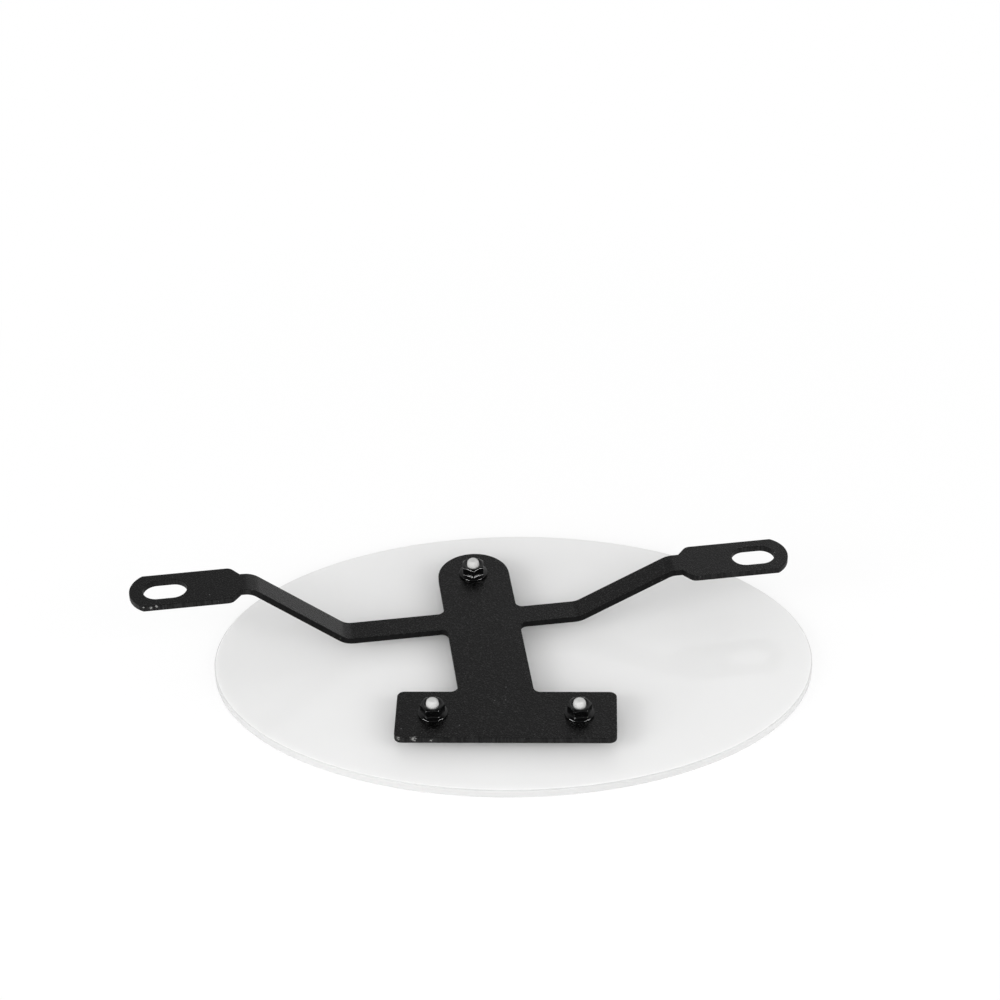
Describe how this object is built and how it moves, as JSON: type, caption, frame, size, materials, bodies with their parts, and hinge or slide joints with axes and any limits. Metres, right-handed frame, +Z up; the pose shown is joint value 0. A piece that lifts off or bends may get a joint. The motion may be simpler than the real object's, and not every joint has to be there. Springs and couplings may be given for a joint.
{
  "type": "racing number board",
  "caption": "Oval white racing number board with printed number and oval pin line, on a folded black sheet bracket with slotted end tabs, held by studs and hex flange nuts.",
  "frame": {"origin": "middle of the oval on the board's front face, which lies on the surface", "axes": "+X along the bracket's arms, +Y towards the bracket's round end, +Z up, out of the back of the board"},
  "size_m": [0.318, 0.1906, 0.0504],
  "materials": {
    "white_board": "gloss white plastic sheet",
    "black_print": "satin black printed film",
    "white_stud": "moulded off-white plastic",
    "black_coat": "fine-textured black powder coat with a few small chips",
    "black_nut": "glossy black plating"
  },
  "bodies": {
    "root": {"board": "white_board", "number_print": "black_print", "border_line": "black_print", "mounting_studs": "white_stud", "bracket": "black_coat", "flange_nuts": "black_nut"}
  },
  "joints": []
}
